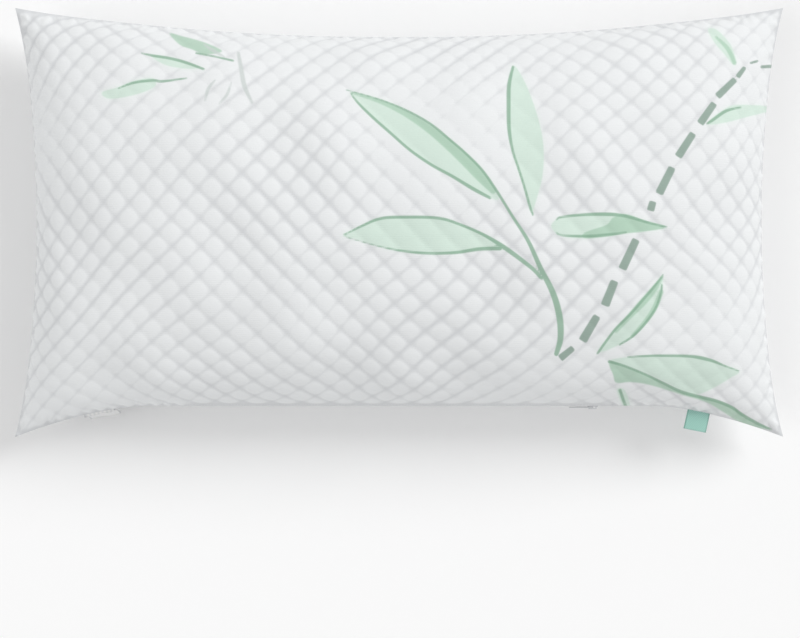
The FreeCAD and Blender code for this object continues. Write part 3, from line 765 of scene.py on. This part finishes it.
for casing, line in ZIP_LINES.items():
    for side, way in (("upper", 1), ("lower", -1)):
        zip_tape(f"{casing}_zip_tape_{side}", line, way)
        zip_coil(f"{casing}_zip_coil_{side}", line, way)

# Pressed aluminium stops: bare metal, dulled and lightly scratched by the tool that crimps them.
bare = colour("#C9CBCE")
aluminium, tree, shader = finish_of("crimped_aluminium", Metallic=1.0, Base_Color=bare)
here = add(tree, "TexCoord").outputs["Object"]
scuffs = add(tree, "TexNoise", {"Vector": here, "Scale": 2500.0}).outputs["Fac"]
dulled = add(tree, "MapRange", {"Value": scuffs, "To Min": 0.3, "To Max": 0.55}).outputs[0]
tree.links.new(dulled, shader.inputs["Roughness"])
scratched = add(tree, "Bump", {"Height": scuffs, "Strength": 0.3, "Distance": 0.00005})
tree.links.new(scratched.outputs["Normal"], shader.inputs["Normal"])

# Stove enamel on die-cast zinc: white and smooth, with a faint orange-peel ripple 0.7 mm across,
# and rubbed greyer where its edges stand out.
enamel, tree, shader = finish_of(
    "stove_enamel_on_zinc", Coat_Weight=0.35, Coat_Roughness=0.12, Roughness=0.3
)
here = add(tree, "TexCoord").outputs["Object"]
peel = add(tree, "TexNoise", {"Vector": here, "Scale": 1400.0, "Detail": 1.0}).outputs["Fac"]
edges = add(tree, "NewGeometry").outputs["Pointiness"]
worn = add(tree, "MapRange", {"Value": edges, "From Min": 0.53, "From Max": 0.62}).outputs[0]
dressed(tree, shader, "#E9EAEC", [("#C6C8CB", worn)], peel, 0.12, 0.00008)

for node_name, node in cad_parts.items():
    for word, metal in (("stop", aluminium), ("slider", enamel), ("pull", enamel)):
        if word in node_name:
            node.material_slots[0].material = metal

# ------------------------------ the two labels in the seam
# A blank care label of white satin, cut hot so that it doesn't fray, hangs from the seam near
# the -X corner. A tab of teal ribbon, folded double, stands out of it near the +X corner.

LABEL_AT, LABEL_WIDTH, LABEL_DROP, LABEL_TURN = 0.345, 0.038, 0.048, 0.002
LABEL_FALL = 0.985  # how much of its length goes down
LABEL_CLEAR, LABEL_FURTHEST = 0.002, 0.011  # how far it stands off the seam and the panel
LABEL_CURL, LABEL_RIPPLE, LABEL_RIPPLES = 0.004, 0.0006, 190
FELT_AROUND, FELT_UNDER_SEAM, FELT_OVER_FLOOR = 0.006, 0.012, 0.004
TAB_WIDTH, TAB_REACH, TAB_HALF_FOLD, TAB_DROOP = 0.027, 0.0215, 0.0006, 0.0022
TAB_RIPPLE, TAB_RIPPLES = 0.0006, 150
IN_SEAM = 0.0025  # how much of each is caught between the panels


def on_seam(x):
    """Where the seam of the zipped edge is at x."""
    share = max(2 * abs(x) / LENGTH - ZIP_EDGE_STRAIGHT, 0) / (1 - ZIP_EDGE_STRAIGHT)
    y = LONG_EDGE_SAG * (1 - share**ZIP_EDGE_POWER) - WIDTH / 2
    return Vector((x, y, float(seam_level(x, y))))


def sewn_label(name, x, width, run, rows, shape, thickness):
    """A strip caught in the seam at x; shape gives how far out and up it is along its run."""
    ends = on_seam(x - width / 2), on_seam(x + width / 2)
    along = (ends[1] - ends[0]).normalized()
    out = Vector((along.y, -along.x, 0)).normalized()
    bm = bmesh.new()
    bmesh.ops.create_grid(bm, x_segments=18, y_segments=rows, size=1)
    widths = []
    for vert in bm.verts:
        across, down = vert.co.x * width / 2, (1 - vert.co.y) / 2 * run
        widths.append(across)
        outwards, up = shape(across, down)
        vert.co = on_seam(x) + along * across + out * outwards + Vector((0, 0, up))
    label = made_piece(name + "_cloth", bm)
    write_values(label.data, "across", np.array(widths))
    body = label.modifiers.new("body", "SOLIDIFY")
    body.thickness, body.offset = thickness, 0
    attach(label, "pillow")
    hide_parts(name)
    return label


def hanging(across, down):
    """Out over the lower panel, then down it, with the free end curling away."""
    x = -LABEL_AT + across
    level = on_seam(-LABEL_AT).z - max(down - IN_SEAM - LABEL_TURN, 0) * LABEL_FALL
    above = min(level + FELT_AROUND, SEAM_HEIGHT - FELT_UNDER_SEAM)
    below = max(level - FELT_AROUND, FELT_OVER_FLOOR)
    bulge = max(
        on_seam(x).y - (against(-1, x + dx, z)[0] or on_seam(x)).y
        for dx in (-FELT_AROUND, 0, FELT_AROUND)
        for z in (level, above, below)
    )
    free = down / LABEL_DROP
    curl = LABEL_CURL * free**3 + LABEL_RIPPLE * math.sin(across * LABEL_RIPPLES) * free
    clear = min(max(bulge, 0) + LABEL_CLEAR, LABEL_FURTHEST) + curl
    start = min(down / (IN_SEAM + LABEL_TURN), 1)
    return -IN_SEAM + (clear + IN_SEAM) * start, level - on_seam(-LABEL_AT).z


def folded(across, down):
    """Out, round the fold and back, drooping a little towards it."""
    leg, turn = TAB_REACH + IN_SEAM, math.pi * TAB_HALF_FOLD
    if down < leg:
        out, up = down, TAB_HALF_FOLD
    elif down < leg + turn:
        angle = (down - leg) / TAB_HALF_FOLD
        out, up = leg + TAB_HALF_FOLD * math.sin(angle), TAB_HALF_FOLD * math.cos(angle)
    else:
        out, up = 2 * leg + turn - down, -TAB_HALF_FOLD
    share = max(out - IN_SEAM, 0) / TAB_REACH
    pinch = min(max(out, 0) / IN_SEAM, 1)
    ripple = TAB_RIPPLE * share * math.sin(across * TAB_RIPPLES)
    return out - IN_SEAM, up * pinch - TAB_DROOP * share**2 + ripple


def selvedge(tree, inner, outer):
    """1 on a strip's firm edges and 0 between them, fading from inner to outer off its middle."""
    across = add(tree, "Attribute", attribute_name="across").outputs["Fac"]
    from_middle = add(tree, "Math", {0: across}, operation="ABSOLUTE").outputs[0]
    limits = {"Value": from_middle, "From Min": inner, "From Max": outer}
    return add(tree, "MapRange", limits).outputs[0]


label_run = LABEL_DROP + IN_SEAM + LABEL_TURN
care_label = sewn_label("care_label", -LABEL_AT, LABEL_WIDTH, label_run, 24, hanging, 0.0004)

# Polyester satin: long floats, 1 mm apart as drawn, over a fine warp, so it outshines the knit.
satin, tree, shader = finish_of(
    "polyester_satin", Roughness=0.38, Sheen_Weight=0.3, Anisotropic=0.5
)
here = add(tree, "TexCoord").outputs["Object"]
floating = {"Vector": here, "Scale": apart(0.001)}
floats = add(tree, "TexWave", floating, bands_direction="Z").outputs["Fac"]
layers = [("#E0E1E2", floats), ("#D2D4D6", selvedge(tree, 0.0168, 0.0176))]
dressed(tree, shader, "#F1F1F0", layers, floats, 0.25, 0.0001)
care_label.data.materials.append(satin)

tab_run = 2 * (TAB_REACH + IN_SEAM) + math.pi * TAB_HALF_FOLD
side_tab = sewn_label("side_tab", LABEL_AT, TAB_WIDTH, tab_run, 60, folded, 0.0007)

# Twill ribbon of dyed polyester: diagonal ribs 1.1 mm apart over a firm, slightly dull weave.
twill, tree, shader = finish_of("polyester_twill_ribbon", Roughness=0.72, Sheen_Weight=0.2)
here = add(tree, "TexCoord").outputs["Object"]
ribbed = {"Vector": here, "Scale": apart(0.0011)}
ribs = add(tree, "TexWave", ribbed, bands_direction="DIAGONAL").outputs["Fac"]
layers = [("#A9D3C8", ribs), ("#86B5A8", selvedge(tree, 0.0118, 0.0124))]
dressed(tree, shader, "#8FC2B4", layers, ribs, 0.5, 0.0002)
side_tab.data.materials.append(twill)

# ------------------------------ the liner
# An inner bag of thin plain-woven polyester that holds the loose foam, cut a little smaller than
# the cover and sewn the same way. It takes up the cover's form, with small creases of its own.

# How far in from the cover's seam the liner's lies: at the ends, the plain edge, the zipped edge.
LINER_INSETS = (0.0226, 0.0181, 0.019)
LINER_DEPTHS = {1: 0.048, -1: 0.075}  # share of the cover's height over the seam that it gives up
LINER_CUT, LINER_THICKNESS = (0.868, 0.467), 0.0006
CREASE_RISE, CREASE_LENGTH, CREASES_FROM, CREASES_FULL = 0.0005, 0.035, 0.004, 0.02


def drawn_in(cloth, way, insets, depth):
    """Points of the cover's settled cloth, brought in from its seam and its crown, and how far
    each lies inside the edge of the cut."""
    points, normals = read_points(cloth), read_normals(cloth)
    s, t, edge = on_cut(cloth)
    points += normals * lumps(s, t, edge, way)[:, None]
    rise = np.maximum(points[:, 2], 0) - seam_level(points[:, 0], points[:, 1])
    plain_edge, zipped_edge = 1 - insets[1] / (WIDTH / 2), 1 + insets[2] / ZIP_LINES["cover"]
    x = points[:, 0] * (1 - insets[0] / (LENGTH / 2))
    y = points[:, 1] * np.where(points[:, 1] > 0, plain_edge, zipped_edge)
    return np.stack([x, y, seam_level(x, y) + rise * (1 - depth)], 1), edge


# Plain weave: thin, flat and a bit dry, its warp and weft both 1.4 mm apart as drawn, which is
# coarser than the real thread, so that they show.
plain, tree, shader = finish_of("plain_woven_polyester", Roughness=0.8, Sheen_Weight=0.15)
threads = {"Vector": along_cloth(tree), "Scale": apart(0.0014)}
warp = add(tree, "TexWave", threads, bands_direction="X").outputs["Fac"]
weft = add(tree, "TexWave", threads, bands_direction="Y").outputs["Fac"]
woven = add(tree, "Math", {0: warp, 1: weft}, operation="MAXIMUM").outputs[0]
dressed(tree, shader, "#E3E4E3", [("#F2F2F0", woven)], woven, 0.4, 0.0002)

for side, way in (("top", 1), ("bottom", -1)):
    mesh = soft_form[way].copy()
    write_points(mesh, drawn_in(mesh, way, LINER_INSETS, LINER_DEPTHS[way])[0])
    bag = bpy.data.objects.new(f"liner_{side}", mesh)
    bpy.context.scene.collection.objects.link(bag)
    finer = bag.modifiers.new("finer", "SUBSURF")
    finer.levels = finer.render_levels = 1
    finer.boundary_smooth = "PRESERVE_CORNERS"
    mesh = settled(bag)
    points, normals = read_points(mesh), read_normals(mesh)
    s, t, edge = on_cut(mesh)
    crease = np.abs(swell(s, t, CREASE_LENGTH, seed=41 + way))
    crease *= smooth_step(edge, CREASES_FROM, CREASES_FULL)
    write_points(mesh, points - normals * (CREASE_RISE * crease)[:, None])
    mesh.shade_smooth()
    body = bag.modifiers.new("body", "SOLIDIFY")
    body.thickness, body.offset = LINER_THICKNESS, -1
    mesh.materials.clear()
    mesh.materials.append(plain)
    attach(bag, "pillow")
    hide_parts(f"liner_{side}_panel")

# ------------------------------ the stuffing
# Soft polyurethane foam torn into crumbs 8 to 20 mm across, cream where the light has reached
# it, packed loose in the liner. It is one mass here, with its outermost crumbs raised on it.

FILL_INSETS = (0.0376, 0.0349, 0.0367)
FILL_DEPTHS = {1: 0.085, -1: 0.13}
CRUMB, CRUMB_RISE, CRUMB_FULL = 0.016, 0.0035, 1.3
RAGGED, RAGS = 0.35, 2.3  # how far a crumb's outline strays, and how often, in crumbs

bm = bmesh.new()
for way in (1, -1):
    mesh = soft_form[way].copy()
    points, edge = drawn_in(mesh, way, FILL_INSETS, FILL_DEPTHS[way])
    at_edge = edge < 1e-6
    points[at_edge, 2] = seam_level(points[at_edge, 0], points[at_edge, 1])
    write_points(mesh, points)
    bm.from_mesh(mesh)
bmesh.ops.remove_doubles(bm, verts=bm.verts, dist=0.0001)
bmesh.ops.subdivide_edges(bm, edges=bm.edges, cuts=1, use_grid_fill=True, smooth=0.5)
bm.normal_update()
noise.seed_set(5)  # noise_vector draws from it, and differs from run to run without it
raised = []
for vert in bm.verts:
    torn = vert.co / CRUMB + RAGGED * noise.noise_vector(vert.co / CRUMB * RAGS)
    sunk = min(noise.voronoi(torn)[0][0] * CRUMB_FULL, 1)
    raised.append(vert.co - vert.normal * CRUMB_RISE * sunk)
for vert, place in zip(bm.verts, raised):
    vert.co = place
fill = made_piece("shredded_foam", bm)

# Torn polyurethane foam: matt cream, each crumb its own shade, open cells 1.5 mm across.
foam, tree, shader = finish_of("torn_polyurethane_foam", Roughness=0.95, Sheen_Weight=0.1)
here = add(tree, "TexCoord").outputs["Object"]
ragged = add(tree, "TexNoise", {"Vector": here, "Scale": RAGS / CRUMB}).outputs["Color"]
torn = add(tree, "Mix", {"Factor": 0.012, 4: here, 5: ragged}, data_type="VECTOR").outputs[1]
crumbs = add(tree, "TexVoronoi", {"Vector": torn, "Scale": 1 / CRUMB})
tint = add(tree, "SeparateColor", {0: crumbs.outputs["Color"]}).outputs[0]
# Painted shade: each crumb darkens towards its edge, in the crevices where crumbs sink between one
# another.
off_middle = {"Value": crumbs.outputs["Distance"], "From Min": 0.35, "From Max": 0.75}
crevice_shade = add(tree, "MapRange", off_middle).outputs[0]
cells = add(tree, "TexVoronoi", {"Vector": here, "Scale": 1 / 0.0015}).outputs["Distance"]
dressed(tree, shader, "#F6EED6", [("#EADCB0", tint), ("#D9C899", crevice_shade)], cells, 0.5, 0.0006)
fill.data.materials.append(foam)
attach(fill, "pillow")
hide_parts("shredded_foam_fill")

# ------------------------------ where it is looked at
# A pale floor under broad soft lamps, seen from straight above, square on to the printed face.

FLOOR_HALF, FLOOR_UNDER = 6, 0.0004  # it lies just under the pillow, so that they never meet
bm = bmesh.new()
bmesh.ops.create_grid(bm, x_segments=1, y_segments=1, size=FLOOR_HALF)
bmesh.ops.translate(bm, verts=bm.verts, vec=(0, 0, -FLOOR_UNDER))
floor = made_piece("floor", bm)
painted, tree, shader = finish_of("floor_matt_paint", Base_Color=colour("#FAFAFA"), Roughness=0.9)
floor.data.materials.append(painted)


def distant_lamp(name, towards, strength, spread):
    """A broad, even light that falls one way, as from a large soft box; spread is in radians."""
    light = bpy.data.lights.new(name, "SUN")
    light.energy, light.angle = strength, spread
    made = bpy.data.objects.new(name, light)
    made.rotation_euler = Vector(towards).to_track_quat("-Z", "Y").to_euler()
    bpy.context.scene.collection.objects.link(made)


distant_lamp("key", (-1, -0.75, -0.95), 1.5, 0.5)
distant_lamp("fill", (1, 0.35, -1.0), 0.58, 0.9)

world = bpy.data.worlds.new("studio")
world.use_nodes = True
world.node_tree.nodes["Background"].inputs["Color"].default_value = colour("#FFFFFF")
world.node_tree.nodes["Background"].inputs["Strength"].default_value = 0.58
bpy.context.scene.world = world
bpy.context.scene.view_settings.view_transform = "Standard"

PICTURE_WIDTH = 0.92  # how much of the pillow's level the picture takes in
PICTURE_MIDDLE = (0.001, -0.112)
camera = bpy.data.cameras.new("camera")
camera.lens, camera.sensor_width = 100, 36
viewer = bpy.data.objects.new("camera", camera)
away = PICTURE_WIDTH * camera.lens / camera.sensor_width
viewer.location = (*PICTURE_MIDDLE, PRINT_HEIGHT + away)
bpy.context.scene.collection.objects.link(viewer)
bpy.context.scene.camera = viewer
